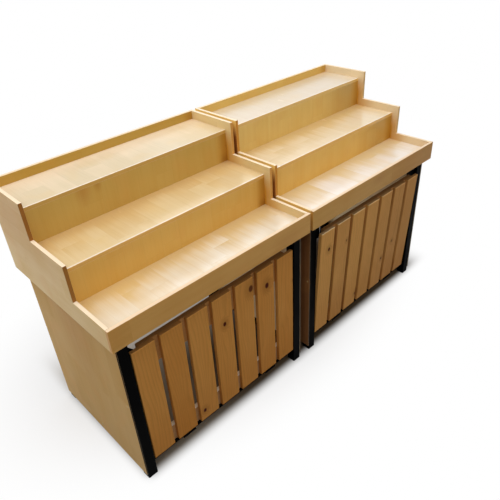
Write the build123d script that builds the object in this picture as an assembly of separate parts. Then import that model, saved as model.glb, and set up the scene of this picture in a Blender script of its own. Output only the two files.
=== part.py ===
from build123d import *
import os

# A two-bay candy display stand. Each bay is a stepped plywood tier that caps a black steel frame,
# with thin side panels and a slatted flap that drops forward on butt hinges at its lower edge.
# Millimetres. Origin on the floor under the middle of the pair, +X to the right, -Y to the front.

# Driving sizes: the pair and the plywood tier
bay_width = 1000.0
bay_gap = 18.0
tier_depth = 745.0
board = 15.0
board_round = 1.5
tier_bottom = 754.0
apron_height = 96.0
step_rise = 150.0
lip_depth = 39.0
first_step = 220.0
second_step = 458.0
riser_setback = 37.0
cleat_size = 20.0

# Driving sizes: the steel frame and its side panels
frame_side_inset = 27.0
frame_front_inset = 34.0
frame_rear_inset = 51.0
leg_size = 45.0
leg_wall = 2.0
rail_size = 25.0
rail_wall = 1.5
angle_wall = 3.0
bottom_rail_height = 58.0
bottom_rail_setback = 3.0
foot_flange = 5.0
foot_plug = 20.0
foot_clearance = 0.2
panel_thickness = 5.0
panel_floor_gap = 28.0

# Driving sizes: the slatted flaps
slat_count = 7
slat_gap = 23.0
slat_thickness = 17.0
slat_round = 4.0
batten_thickness = 20.0
batten_inset = 40.0
top_batten_height = 120.0
bottom_batten_height = 85.0
stop_drop = 46.0
stop_thickness = 3.0
stop_clearance = 0.3

# Driving sizes: the butt hinges
hinge_length = 70.0
hinge_slats = (1, 5)
leaf_thickness = 1.4
leaf_clearance = 0.2
frame_leaf_reach = 27.0
flap_leaf_reach = 20.0
knuckle_radius = 3.5
knuckle_length = 23.0
knuckle_clearance = 0.5
knuckle_end_clearance = 0.3
pin_radius = 2.0
pin_clearance = 0.05
pin_overhang = 1.0

# Driving sizes: the screws
screw_flat_count = 6
screw_radius = 2.0
screw_hole_clearance = 0.1
screw_head_radius = 4.5
screw_head_height = 2.5
panel_screw_length = 16.0
panel_screw_edge = 12.0
panel_screw_height = 442.0
top_screw_spacing = 400.0
slat_screw_bite = 12.0

# The two flaps, left bay first: the slot above each for the fingers, the room beside it,
# how much its top falls to the left, and how far it stands open at rest in degrees
finger_slots = (68.0, 59.0)
flap_left_clearances = (4.0, 2.0)
flap_right_clearances = (5.0, 32.0)
flap_top_falls = (13.0, 0.0)
flap_rest_angles = (0.0, 2.5)

# The two flaps' stops: how far they reach behind the flap and above it, and how much their tops slope
stop_overlaps = (22.0, 37.0)
stop_rises = (16.0, 27.0)
stop_slopes = (30.0, 14.0)

# Worked-out places, in a bay's own frame: x from the bay's middle, y from the tier's middle
half_width = bay_width / 2
tier_front = -tier_depth / 2
tier_back = tier_depth / 2
inner_half = half_width - board
lip_tops = [tier_bottom + apron_height + step_rise * level for level in range(3)]
shelf_tops = [lip - lip_depth for lip in lip_tops]
step_fronts = [tier_front + first_step, tier_front + second_step]
riser_fronts = [front + riser_setback for front in step_fronts]

frame_top = shelf_tops[0] - board
frame_half = half_width - frame_side_inset
frame_front = tier_front + frame_front_inset
frame_back = tier_back - frame_rear_inset
opening_half = frame_half - leg_size
bottom_rail_top = bottom_rail_height + rail_size

hinge_gap = 2 * leaf_thickness + leaf_clearance
hinge_z = bottom_rail_top + hinge_gap / 2
hinge_y = frame_front - knuckle_radius - knuckle_clearance
flap_bottom = bottom_rail_top + hinge_gap
flap_tops = [tier_bottom - slot for slot in finger_slots]
flap_lefts = [clearance - opening_half for clearance in flap_left_clearances]
flap_rights = [opening_half - clearance for clearance in flap_right_clearances]
slat_back = frame_front + slat_thickness
batten_back = slat_back + batten_thickness
screw_hole_radius = screw_radius + screw_hole_clearance

# How close an edge's middle lies to the plane that it is picked by
near = 0.5


def block(x_span, y_span, z_span):
    """A box between two limits along each axis."""
    size = (x_span[1] - x_span[0], y_span[1] - y_span[0], z_span[1] - z_span[0])
    corner = Pos(x_span[0], y_span[0], z_span[0])
    return corner * Box(*size, align=(Align.MIN, Align.MIN, Align.MIN))


def rod(centre, radius, length, direction):
    """A round bar that starts at a point and runs along a direction."""
    return extrude(Plane(centre, z_dir=direction) * Circle(radius), length)


def square_tube(x_span, y_span, z_span, wall, along):
    """A hollow square section, open at both ends along one axis."""
    spans = [x_span, y_span, z_span]
    bore = [span if axis == along else (span[0] + wall, span[1] - wall) for axis, span in enumerate(spans)]
    return block(*spans) - block(*bore)


def small_bar(centre, radius, length, direction):
    """A bar with a few flats, as plain as a small screw or its hole needs to be."""
    return extrude(Plane(centre, z_dir=direction) * RegularPolygon(radius, screw_flat_count), length)


def screw(seat, direction, length):
    """A screw whose head rests on its seat and whose shank runs along the direction."""
    head = small_bar(seat, screw_head_radius, screw_head_height, Vector(direction) * -1)
    return small_bar(seat, screw_radius, length, direction) + head


def screw_hole(seat, direction, length):
    """The clear hole for a screw's shank."""
    return small_bar(seat, screw_hole_radius, length, direction)


def rounded(solid, radius, keep):
    """A solid with the edges that the rule picks rounded off."""
    return fillet([edge for edge in solid.edges() if keep(edge.center())], radius)


# The plywood tier
def end_panel(side):
    """A stepped end board behind the apron's end, with three lip levels."""
    inner = side * inner_half
    front = tier_front + board
    outline = [
        (inner, front, tier_bottom),
        (inner, front, lip_tops[0]),
        (inner, step_fronts[0], lip_tops[0]),
        (inner, step_fronts[0], lip_tops[1]),
        (inner, step_fronts[1], lip_tops[1]),
        (inner, step_fronts[1], lip_tops[2]),
        (inner, tier_back, lip_tops[2]),
        (inner, tier_back, tier_bottom),
    ]
    panel = extrude(make_face(Polyline(*outline, close=True)), board, dir=(side, 0, 0))
    on_steps = lambda spot: spot.Z > lip_tops[0] - near and front + near < spot.Y < tier_back - near
    on_broad_face = lambda spot: abs(abs(spot.X) - half_width + board / 2) > board / 2 - near
    return rounded(panel, board_round, lambda spot: on_steps(spot) and on_broad_face(spot))


def front_apron():
    """The front board, which covers the end panels' front edges and stands up as a lip."""
    y_span = (tier_front, tier_front + board)
    apron = block((-half_width, half_width), y_span, (tier_bottom, lip_tops[0]))
    on_front = lambda spot: spot.Y < tier_front + near
    long_edge = lambda spot: abs(spot.X) < near and (on_front(spot) or spot.Z > lip_tops[0] - near)
    end_edge = lambda spot: abs(spot.X) > half_width - near and on_front(spot)
    return rounded(apron, board_round, lambda spot: long_edge(spot) or end_edge(spot))


def back_board():
    """The rear board between the end panels, up to the rear lip."""
    y_span = (tier_back - board, tier_back)
    back = block((-inner_half, inner_half), y_span, (tier_bottom, lip_tops[2]))
    return rounded(back, board_round, lambda spot: abs(spot.X) < near and spot.Z > lip_tops[2] - near)


def lower_shelf():
    """The tier's floor, which is the lower shelf in front and sits on the steel frame."""
    y_span = (tier_front + board, tier_back - board)
    return block((-inner_half, inner_half), y_span, (frame_top, shelf_tops[0]))


def riser(level):
    """An upright board from one shelf to the underside of the next."""
    y_span = (riser_fronts[level], riser_fronts[level] + board)
    return block((-inner_half, inner_half), y_span, (shelf_tops[level], shelf_tops[level + 1] - board))


def raised_shelf(level):
    """A shelf that starts flush with its riser's face and runs under the next riser or to the back."""
    ends = [riser_fronts[1] + board, tier_back - board]
    y_span = (riser_fronts[level], ends[level])
    shelf = block((-inner_half, inner_half), y_span, (shelf_tops[level + 1] - board, shelf_tops[level + 1]))
    front_top = lambda spot: spot.Y < y_span[0] + near and spot.Z > shelf_tops[level + 1] - near
    return rounded(shelf, board_round, front_top)


def shelf_cleats():
    """The strips on the end panels' inner faces that carry the two raised shelves."""
    ends = [riser_fronts[1] + board, tier_back - board]
    strips = []
    for level in range(2):
        top = shelf_tops[level + 1] - board
        for side in (-1, 1):
            x_span = sorted((side * inner_half, side * (inner_half - cleat_size)))
            y_span = (riser_fronts[level] + board, ends[level])
            strips.append(block(x_span, y_span, (top - cleat_size, top)))
    return Compound(strips)


# The steel frame
def panel_screw_places(side):
    """Where a side panel's screws sit: one in each leg, one in the bottom rail, two in the top rail."""
    outer = side * (frame_half + panel_thickness)
    middle = (frame_front + frame_back) / 2
    rail_middle = bottom_rail_height + rail_size / 2
    top_middle = frame_top - rail_size / 2
    return {
        "front_leg": [(outer, frame_front + panel_screw_edge, panel_screw_height)],
        "rear_leg": [(outer, frame_back - panel_screw_edge, panel_screw_height)],
        "bottom_rail": [(outer, middle, rail_middle)],
        "top_rail": [(outer, middle + spot * top_screw_spacing / 2, top_middle) for spot in (-1, 1)],
    }


def drilled(solid, side, place):
    """A frame member or panel with the holes for the panel screws that go into it."""
    for seat in panel_screw_places(side)[place]:
        solid -= screw_hole(seat, (-side, 0, 0), panel_screw_length)
    return solid


def leg(side, end):
    """A square tube upright at one corner of the frame, from its foot cap to the tier's floor."""
    x_span = sorted((side * frame_half, side * opening_half))
    y_span = (frame_front, frame_front + leg_size)
    if end == "rear_leg":
        y_span = (frame_back - leg_size, frame_back)
    return drilled(square_tube(x_span, y_span, (foot_flange, frame_top), leg_wall, 2), side, end)


def top_cross_rails():
    """The front and rear rails at the top of the frame, hidden behind the tier's skirt."""
    z_span = (frame_top - rail_size, frame_top)
    x_span = (-opening_half, opening_half)
    front = square_tube(x_span, (frame_front, frame_front + rail_size), z_span, rail_wall, 0)
    rear = square_tube(x_span, (frame_back - rail_size, frame_back), z_span, rail_wall, 0)
    return Compound([front, rear])


def side_rails(z_span, place):
    """A left and a right rail between the front and rear legs, flush with the legs' outer faces."""
    y_span = (frame_front + leg_size, frame_back - leg_size)
    rails = []
    for side in (-1, 1):
        x_span = sorted((side * frame_half, side * (frame_half - rail_size)))
        rails.append(drilled(square_tube(x_span, y_span, z_span, rail_wall, 1), side, place))
    return Compound(rails)


def front_bottom_rail():
    """The angle iron under the flap: its flat carries the hinges, its upright hangs down behind."""
    front = frame_front + bottom_rail_setback
    back = front + rail_size
    x_span = (-opening_half, opening_half)
    flat = block(x_span, (front, back), (bottom_rail_top - angle_wall, bottom_rail_top))
    return flat + block(x_span, (back - angle_wall, back), (bottom_rail_height, bottom_rail_top))


def foot_caps():
    """A moulded cap under each leg, with a plug that goes up into the tube."""
    caps = []
    half_leg = leg_size / 2
    plug_size = leg_size - 2 * leg_wall - 2 * foot_clearance
    for x in (-frame_half + half_leg, frame_half - half_leg):
        for y in (frame_front + half_leg, frame_back - half_leg):
            flange = Pos(x, y, foot_flange / 2) * Box(leg_size, leg_size, foot_flange)
            plug = Pos(x, y, foot_flange + foot_plug / 2) * Box(plug_size, plug_size, foot_plug)
            caps.append(flange + plug)
    return Compound(caps)


def side_panel(side):
    """A thin plywood sheet screwed to the outside of the frame, from under the tier to above the floor."""
    x_span = sorted((side * frame_half, side * (frame_half + panel_thickness)))
    sheet = block(x_span, (frame_front, frame_back), (panel_floor_gap, frame_top))
    for place in panel_screw_places(side):
        sheet = drilled(sheet, side, place)
    return sheet


def panel_screws():
    """The screws that hold both side panels."""
    screws = []
    for side in (-1, 1):
        for seats in panel_screw_places(side).values():
            screws += [screw(seat, (-side, 0, 0), panel_screw_length) for seat in seats]
    return Compound(screws)


def flap_stops(bay):
    """A tab on each front leg's inner face, which the closed flap's end slat comes to rest on."""
    front = slat_back + stop_clearance
    top = flap_tops[bay] + stop_rises[bay]
    bottom = flap_tops[bay] - stop_drop
    tabs = []
    for wall, tip in (
        (-opening_half, flap_lefts[bay] + stop_overlaps[bay]),
        (opening_half, flap_rights[bay] - stop_overlaps[bay]),
    ):
        outline = [
            (wall, front, top),
            (tip, front, top - stop_slopes[bay]),
            (tip, front, bottom),
            (wall, front, bottom),
        ]
        tabs.append(extrude(make_face(Polyline(*outline, close=True)), stop_thickness, dir=(0, 1, 0)))
    return Compound(tabs)


# Where a bay's slats lie
def slat_spans(bay):
    """The two limits along x of each slat."""
    room = flap_rights[bay] - flap_lefts[bay]
    width = (room - (slat_count - 1) * slat_gap) / slat_count
    lows = [flap_lefts[bay] + (width + slat_gap) * index for index in range(slat_count)]
    return [(low, low + width) for low in lows]


def slat_centres(bay):
    """The middle of each slat along x."""
    return [(low + high) / 2 for low, high in slat_spans(bay)]


def top_at(bay, x):
    """How high a flap reaches at a place along it."""
    share = (flap_rights[bay] - x) / (flap_rights[bay] - flap_lefts[bay])
    return flap_tops[bay] - flap_top_falls[bay] * share


# The butt hinges
def leaf(centre, level, reach, knuckle_spans):
    """A hinge leaf on its side of the gap, with its knuckles rolled round the pin's axis."""
    inner = leaf_clearance / 2
    z_span = sorted((hinge_z + level * inner, hinge_z + level * (inner + leaf_thickness)))
    clear = knuckle_radius + knuckle_clearance
    half = hinge_length / 2
    plate = block((centre - half, centre + half), (hinge_y + clear, hinge_y + reach), z_span)
    for low, high in knuckle_spans:
        plate += block((centre + low, centre + high), (hinge_y, hinge_y + clear), z_span)
        plate += rod((centre + low, hinge_y, hinge_z), knuckle_radius, high - low, (1, 0, 0))
    bore = rod((centre - half, hinge_y, hinge_z), pin_radius + pin_clearance, hinge_length, (1, 0, 0))
    return plate - bore


def hinge_frame_leaves(bay):
    """The fixed leaves on the rail, each with a knuckle at both ends."""
    half = hinge_length / 2
    spans = [(-half, -half + knuckle_length), (half - knuckle_length, half)]
    centres = slat_centres(bay)
    return Compound([leaf(centres[index], -1, frame_leaf_reach, spans) for index in hinge_slats])


def hinge_flap_leaves(bay):
    """The leaves under the flap, each with one knuckle between the fixed ones."""
    reach = hinge_length / 2 - knuckle_length - knuckle_end_clearance
    centres = slat_centres(bay)
    return Compound([leaf(centres[index], 1, flap_leaf_reach, [(-reach, reach)]) for index in hinge_slats])


def hinge_pins(bay):
    """The pins that each hinge turns on."""
    length = hinge_length + 2 * pin_overhang
    starts = [(slat_centres(bay)[index] - length / 2, hinge_y, hinge_z) for index in hinge_slats]
    return Compound([rod(start, pin_radius, length, (1, 0, 0)) for start in starts])


# The slatted flap, closed
def slat_screw_places(bay):
    """Where the slats' screws sit on the battens' backs: one at each crossing."""
    low = flap_bottom + bottom_batten_height / 2
    upper = [(x, batten_back, top_at(bay, x) - top_batten_height / 2) for x in slat_centres(bay)]
    return upper + [(x, batten_back, low) for x in slat_centres(bay)]


def slat_drilled(solid, seats):
    """A slat or batten with the holes for its slat screws."""
    for seat in seats:
        solid -= screw_hole(seat, (0, -1, 0), batten_thickness + slat_screw_bite)
    return solid


def flap_slats(bay):
    """The upright boards, each cut square at the top, with the edges of their faces rounded."""
    slats = []
    for low, high in slat_spans(bay):
        top = top_at(bay, (low + high) / 2)
        slat = block((low, high), (frame_front, slat_back), (flap_bottom, top))
        slat = rounded(slat, slat_round, lambda spot: spot.Y < frame_front + near)
        seats = [seat for seat in slat_screw_places(bay) if low < seat[0] < high]
        slats.append(slat_drilled(slat, seats))
    return Compound(slats)


def batten(bay, limits_at):
    """A cross board behind the slats, short of both ends to pass between the stops."""
    left = flap_lefts[bay] + batten_inset
    right = flap_rights[bay] - batten_inset
    (left_low, left_high), (right_low, right_high) = limits_at(left), limits_at(right)
    outline = [
        (left, slat_back, left_low),
        (left, slat_back, left_high),
        (right, slat_back, right_high),
        (right, slat_back, right_low),
    ]
    board_piece = extrude(make_face(Polyline(*outline, close=True)), batten_thickness, dir=(0, 1, 0))
    seats = [seat for seat in slat_screw_places(bay) if left_low < seat[2] < right_high]
    return slat_drilled(board_piece, seats)


def flap_top_batten(bay):
    """The upper cross board, which follows the slats' tops."""
    return batten(bay, lambda x: (top_at(bay, x) - top_batten_height, top_at(bay, x)))


def flap_bottom_batten(bay):
    """The lower cross board, level with the slats' feet."""
    return batten(bay, lambda x: (flap_bottom, flap_bottom + bottom_batten_height))


def slat_screws(bay):
    """The screws that hold the slats to the battens, driven from behind."""
    length = batten_thickness + slat_screw_bite
    return Compound([screw(seat, (0, -1, 0), length) for seat in slat_screw_places(bay)])


alike_pieces = {
    "left_end_panel": end_panel(-1),
    "right_end_panel": end_panel(1),
    "front_apron": front_apron(),
    "back_board": back_board(),
    "lower_shelf": lower_shelf(),
    "lower_riser": riser(0),
    "middle_shelf": raised_shelf(0),
    "upper_riser": riser(1),
    "upper_shelf": raised_shelf(1),
    "shelf_cleats": shelf_cleats(),
    "front_left_leg": leg(-1, "front_leg"),
    "front_right_leg": leg(1, "front_leg"),
    "rear_left_leg": leg(-1, "rear_leg"),
    "rear_right_leg": leg(1, "rear_leg"),
    "top_cross_rails": top_cross_rails(),
    "top_side_rails": side_rails((frame_top - rail_size, frame_top), "top_rail"),
    "front_bottom_rail": front_bottom_rail(),
    "bottom_side_rails": side_rails((bottom_rail_height, bottom_rail_top), "bottom_rail"),
    "foot_caps": foot_caps(),
    "left_side_panel": side_panel(-1),
    "right_side_panel": side_panel(1),
    "panel_screws": panel_screws(),
}
pieces_by_the_flap = [flap_stops, hinge_frame_leaves, hinge_pins]
flap_pieces = [flap_slats, flap_top_batten, flap_bottom_batten, slat_screws, hinge_flap_leaves]

# The bays are alike but for their flaps and stops; each flap turns on its hinge to where it rests
os.makedirs("parts", exist_ok=True)
hinge_axis = Axis((0, hinge_y, hinge_z), (1, 0, 0))
for bay, rest_angle in enumerate(flap_rest_angles):
    place = Pos((bay - 0.5) * (bay_width + bay_gap), 0, 0)
    bay_pieces = dict(alike_pieces)
    bay_pieces |= {make.__name__: make(bay) for make in pieces_by_the_flap}
    bay_pieces |= {make.__name__: make(bay).rotate(hinge_axis, rest_angle) for make in flap_pieces}
    for name, piece in bay_pieces.items():
        export_step(place * piece, f"parts/bay{bay + 1}_{name}.step")
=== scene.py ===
"""Looks of a two-bay candy display stand: varnished jointed boards, pine slats and black steel frames."""

import math

import bmesh
import bpy
from mathutils import Matrix, Vector

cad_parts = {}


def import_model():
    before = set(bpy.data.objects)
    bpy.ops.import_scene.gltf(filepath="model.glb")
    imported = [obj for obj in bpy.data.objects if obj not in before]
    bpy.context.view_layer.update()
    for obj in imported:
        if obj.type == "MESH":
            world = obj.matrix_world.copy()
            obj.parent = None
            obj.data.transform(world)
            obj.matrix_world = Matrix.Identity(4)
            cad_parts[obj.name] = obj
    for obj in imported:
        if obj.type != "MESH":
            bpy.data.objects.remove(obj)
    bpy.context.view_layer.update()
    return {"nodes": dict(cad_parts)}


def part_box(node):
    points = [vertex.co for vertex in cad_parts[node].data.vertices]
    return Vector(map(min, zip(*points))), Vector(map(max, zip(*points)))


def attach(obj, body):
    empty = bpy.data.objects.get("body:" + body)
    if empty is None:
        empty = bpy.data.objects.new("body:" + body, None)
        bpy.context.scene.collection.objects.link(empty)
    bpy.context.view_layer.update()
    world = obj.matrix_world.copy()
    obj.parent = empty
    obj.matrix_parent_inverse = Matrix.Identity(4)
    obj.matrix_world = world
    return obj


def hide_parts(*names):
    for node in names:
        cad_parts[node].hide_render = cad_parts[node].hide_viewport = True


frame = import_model()


def rgb(red, green, blue):
    """A colour as a screen shows it, 0 to 255, in the renderer's light units."""
    shares = [value / 255 for value in (red, green, blue)]
    light = [((share + 0.055) / 1.055) ** 2.4 if share > 0.04045 else share / 12.92 for share in shares]
    return (*light, 1.0)


# Axes and names
X, Y, Z = 0, 1, 2
BAYS = ("bay1", "bay2")
SHELVES = ("lower_shelf", "middle_shelf", "upper_shelf")
RISERS = ("lower_riser", "upper_riser")
LEGS = ("front_left_leg", "front_right_leg", "rear_left_leg", "rear_right_leg")
RAILS = ("top_cross_rails", "top_side_rails", "bottom_side_rails")

# Camera, from the photograph's corners: place in metres, angles in degrees, lens and sensor in millimetres
CAMERA_PLACE = Vector((-1.511, -1.605, 1.957))
CAMERA_AZIMUTH = 42.73
CAMERA_ELEVATION = -33.52
CAMERA_ROLL = -3.40
CAMERA_LENS = 37.5
CAMERA_SENSOR = 36.0

# Lamps: bearing and rise in degrees, then distance, width and height in metres, and watts
CEILING = (200.0, 78.0, 3.6, 6.0, 6.0, 176.0)
LEFT_FILL = (-95.0, 35.0, 4.5, 3.0, 3.0, 18.0)
REAR_FILL = (-35.0, 20.0, 4.5, 3.0, 3.0, 45.0)
WINDOW = (57.0, 42.0, 5.0, 5.0, 2.4, 106.0)
WINDOW_TINT = (0.84, 0.93, 1.0)
LAMP_TARGET = Vector((0.0, 0.0, 0.7))
AMBIENT = 0.24

# Floor, in metres: its size, and from where to where the painted shade under the stand sets in on each side
FLOOR_SIZE = 60.0
SHADE_FRONT, SHADE_REAR = (-0.38, -0.30), (0.75, 0.25)
SHADE_LEFT, SHADE_RIGHT = (-1.02, -0.94), (1.25, 0.95)

# The deepest painted shade on the floor, in metres: towards the front, fuller to the right, and further back
# at the right end
DARK_FRONT, DARK_ALONG = (0.32, 0.02), (-0.75, -0.30, 0.5, 1.0)
DARK_REAR, DARK_RIGHT = (0.42, 0.35), (0.50, 0.65)

# The floor's tones: open, in painted shade and darkest, and what it throws back under the stand and behind
# it
FLOOR_PALE, FLOOR_SHADED = (0.93, 0.93, 0.93, 1.0), (0.42, 0.37, 0.30, 1.0)
FLOOR_DARK = (0.09, 0.065, 0.04, 1.0)
BOUNCE_UNDER, BOUNCE_BEHIND = (0.15, 0.14, 0.13, 1.0), (0.80, 0.80, 0.80, 1.0)
BOUNCE_FADE = (0.20, 0.45)

# The white of the open floor: its middle, its shape, and its reach in metres with its strength
GLOW_MIDDLE, GLOW_SHAPE = (0.0, 0.35, 0.0), (0.6, 1.0, 0.0)
GLOW_FADE = (0.35, 1.0, 0.25, 1.0)

# Jointed boards, in metres: a stave's width and length, the glue line, and the edge that gets a painted
# highlight
STAVE_WIDTH = 0.085
STAVE_LENGTH = 0.31
SEAM_WIDTH = 0.0007
BOARD_EDGE = 0.0022

# Grain: how fine it is across and along the fibres, per metre, and its detail
BOARD_STREAK = (330.0, 7.0, 4.0)
BOARD_FIGURE = (38.0, 2.2, 2.0)
PINE_STREAK = (420.0, 9.0, 4.0)
PINE_DRIFT = (9.0, 1.3, 2.0)
SOFT_DETAIL, WARM_DETAIL = 2.0, 1.0
NOISE_ROUGHNESS = 0.55

# Clouds in the wood, per metre, and how far the grain jumps from one stave or slat to the next
BOARD_CLOUD, WARM_CLOUD, PINE_CLOUD = (5.0, 5.0, 5.0), (9.0, 9.0, 9.0), (7.0, 7.0, 3.0)
STAVE_JUMP, SLAT_JUMPS = 31.0, (9.0, 1.0, 5.0)
STAVE_SEED, SLAT_SEEDS, WARM_SEEDS = 1.7, (3.1, 0.4), (4.0, 7.0)

# The boards' tone: shares of figure and clouds, where gold sets in, and how much of it dims a side's tint
FIGURE_SHARE, CLOUD_SHARE = 0.45, 0.55
GOLD_FADE = (0.30, 1.0)
SIDE_LIGHT, SIDE_DIM, SIDE_STRENGTH = 1.07, -0.16, 0.95

# Painted light on the shelves: how a painted shade of gold grows towards the riser behind,
# and how much less of it there is in front, where a painted sheen makes them paler
PAINTED_SHADE_POWER, PAINTED_SHADE_GOLD, PAINTED_SHEEN_PALE = 2.2, 0.75, 0.22

# Tints over the boards: between which values each sets in, its strength and its tone
# A painted sheen, palest along a shelf's front edge
PAINTED_SHEEN_RIM = (0.009, 0.003, 0.75, rgb(250, 238, 222))
BOARD_FIBRES = (0.45, 0.75, 0.07, rgb(150, 104, 52))
WARM_FADE, WARM_TONE = (0.50, 0.72, 0.12), (0.73, 0.31, 0.07, 1.0)
# A painted sheen on the faces that look up
TOP_SHEEN_FADE, TOP_SHEEN_TONE = (0.5, 0.9), (0.92, 0.75, 0.54, 1.0)
SEAM_STRENGTH, SEAM_TONE = 0.15, rgb(132, 92, 44)
# A painted highlight along the edges
EDGE_HIGHLIGHT_STRENGTH, EDGE_HIGHLIGHT_TONE = 0.30, rgb(246, 228, 196)

# How squarely a side looks one way when its own tint sets in and is full, and how square an edge is
SQUARE_FADE = (0.6, 0.9)
EDGE_FADE, EDGE_SAMPLES = (0.99, 0.80), 6

# The boards' varnish: shares of clouds, fibres and staves in its roughness, and the spread round the gloss
ROUGH_SHARES = (0.5, 0.2, 0.15)
ROUGH_FADE, GLOSS_SPREAD = (0.2, 0.65), (-0.05, 0.06)
BOARD_RELIEF, BOARD_BUMP = 0.35, (0.12, 0.0004)

# Dark mineral stains in the boards: place, radius in metres, strength
RISER_STAINS = [((-0.757, 0.1225, 1.093), 0.035, 0.28), ((-0.691, 0.1225, 1.101), 0.018, 0.34)]
APRON_STAINS = [((-0.155, -0.3725, 0.786), 0.05, 0.18), ((0.512, -0.3725, 0.821), 0.03, 0.25),
                ((0.880, -0.3725, 0.800), 0.14, 0.22)]
SHELF_STAINS = [((-0.82, -0.23, 0.811), 0.13, 0.26), ((-0.12, 0.24, 1.111), 0.15, 0.25)]
END_STAINS = [((-1.018, 0.25, 1.06), 0.22, 0.32)]
SHEET_STAINS = [((-0.985, 0.0, 0.74), 0.16, 0.22)]
STAIN_REACH, STAIN_DRAWN = 1.4, 0.45
STAIN_TONE = (0.41, 0.12, 0.01, 1.0)

# The stepped ends, in metres: a riser's setback behind its step, and a lip's height over its shelf
RISER_SETBACK = 0.037
LIP_DEPTH = 0.039
RISER_BOXES = [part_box("bay1_" + riser) for riser in RISERS]
RISER_CORNERS = [(low.y, low.z, high.z + LIP_DEPTH) for low, high in RISER_BOXES]
STEP_FRONTS = [low.y - RISER_SETBACK for low, high in RISER_BOXES]
LIP_TOPS = [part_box("bay1_" + shelf)[1].z + LIP_DEPTH for shelf in SHELVES]

# Painted shade in the corners beside the risers: its reach in metres, its strength, and how far up it is
# full
CORNER_WIDE, CORNER_CLOSE = (0.145, 0.0, 0.0, 0.7), (0.018, 0.0, 0.0, 0.3)
CORNER_FULL = 0.35
AMBER_REACH, DEEP_REACH, SHADE_REACH = 0.085, 0.06, 0.38
DEEP_FULL, DEEP_AT_FOOT = 0.3, 2.0
CORNER_SHADE_TONE, DEEP_TONE = rgb(206, 148, 42), rgb(140, 80, 18)

# Painted shade on the sides close to the other bay: how far below the top the dark sets in, and the two
# tones, lit near the top and in painted shade below
CLOSE_FADE = (0.014, 0.09)
CLOSE_TOP, CLOSE_SHADE_TONE = rgb(248, 210, 124), rgb(178, 112, 52)

# Tones of the shelves and risers, pale and golden
SHELF_TONES = {
    "bay1_lower_shelf": (rgb(236, 225, 206), rgb(216, 185, 130)),
    "bay1_middle_shelf": (rgb(226, 200, 152), rgb(212, 176, 118)),
    "bay1_upper_shelf": (rgb(218, 199, 164), rgb(238, 216, 185)),
    "bay2_lower_shelf": (rgb(241, 231, 220), rgb(224, 198, 150)),
    "bay2_middle_shelf": (rgb(236, 215, 180), rgb(214, 182, 126)),
    "bay2_upper_shelf": (rgb(227, 211, 188), rgb(219, 198, 164)),
}
RISER_TONES = {
    "bay1_lower_riser": (rgb(228, 185, 99), rgb(222, 172, 82)),
    "bay1_upper_riser": (rgb(210, 173, 92), rgb(204, 161, 77)),
    "bay2_lower_riser": (rgb(239, 196, 106), rgb(233, 182, 88)),
    "bay2_upper_riser": (rgb(237, 203, 122), rgb(231, 189, 103)),
}
SHELF_WARM = rgb(232, 190, 112)
SHELF_SHINE = {shelf: 0.15 if shelf == "bay1_upper_shelf" else 0.5 for shelf in SHELF_TONES}
BEHIND_SHELF = dict(zip(SHELVES, ("lower_riser", "upper_riser", "back_board")))
EDGE_LIKE = dict(zip(SHELVES, ("lower_riser", "lower_riser", "upper_riser")))

# Painted shade at the right ends of upright boards, by the corner with the end board: how much of a wide
# shade, an amber and a deep tone
RISER_ENDS = {"bay1": (0.0, 0.75, 0.3), "bay2": (0.35, 0.75, 0.15)}
BACK_END = (0.0, 0.2, 0.3)

# Tones of the end boards: their own, of the sides that face their bay, and of each sawn front edge,
# whose tone is partly its end grain and partly painted shade
END_TONES = (rgb(232, 200, 140), rgb(221, 184, 117))
INNER_FACES = {"bay1": rgb(234, 208, 152), "bay2": rgb(239, 216, 175)}
END_EDGES = {
    "bay1_left_end_panel": rgb(158, 104, 44),
    "bay1_right_end_panel": rgb(218, 158, 78),
    "bay2_left_end_panel": rgb(212, 142, 50),
    "bay2_right_end_panel": rgb(222, 184, 120),
}
CLOSE_ENDS = ("bay1_right_end_panel", "bay2_left_end_panel")

# Tones of the other boards and of the side sheets, pale and golden; the sheets close to the other bay
# are darkened with painted shade
BACK_TONES = {
    "bay1": (rgb(195, 158, 75), rgb(189, 146, 59)),
    "bay2": (rgb(230, 192, 106), rgb(222, 178, 90)),
}
APRON_TONES = {
    "bay1": (rgb(224, 172, 97), rgb(210, 155, 80)),
    "bay2": (rgb(215, 165, 89), rgb(201, 148, 73)),
}
CLEAT_TONES = (rgb(202, 168, 86), rgb(196, 156, 70))
OPEN_SHEET = (rgb(206, 165, 96), rgb(198, 155, 85))
CLOSE_SHEET_SHADE = (rgb(154, 106, 65), rgb(146, 98, 57))
CLOSE_SHEETS = ("bay1_right_side_panel", "bay2_left_side_panel")
SHEET_EDGE, SHEET_INSIDE = rgb(30, 20, 12), rgb(236, 214, 176)

# Tones of the slats: pale, dark and their sawn tops in painted shade, and how much painted shade darkens
# them to the right
SLAT_TONES = {
    "bay1": (rgb(226, 160, 82), rgb(216, 147, 70), rgb(146, 102, 56), 0.0),
    "bay2": (rgb(236, 175, 98), rgb(216, 157, 90), rgb(116, 80, 44), 0.4),
}
# The battens' tones; the bottom batten's pale top is a painted highlight
TOP_BATTEN = (rgb(206, 152, 92), rgb(190, 132, 74))
BOTTOM_BATTEN = (rgb(206, 160, 110), rgb(190, 142, 92), rgb(236, 224, 204))

# Slats: their number, and in metres the gap between them and the edge that gets a painted highlight
SLAT_COUNT = 7
SLAT_GAP = 0.023
SLAT_EDGE = 0.003

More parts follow.
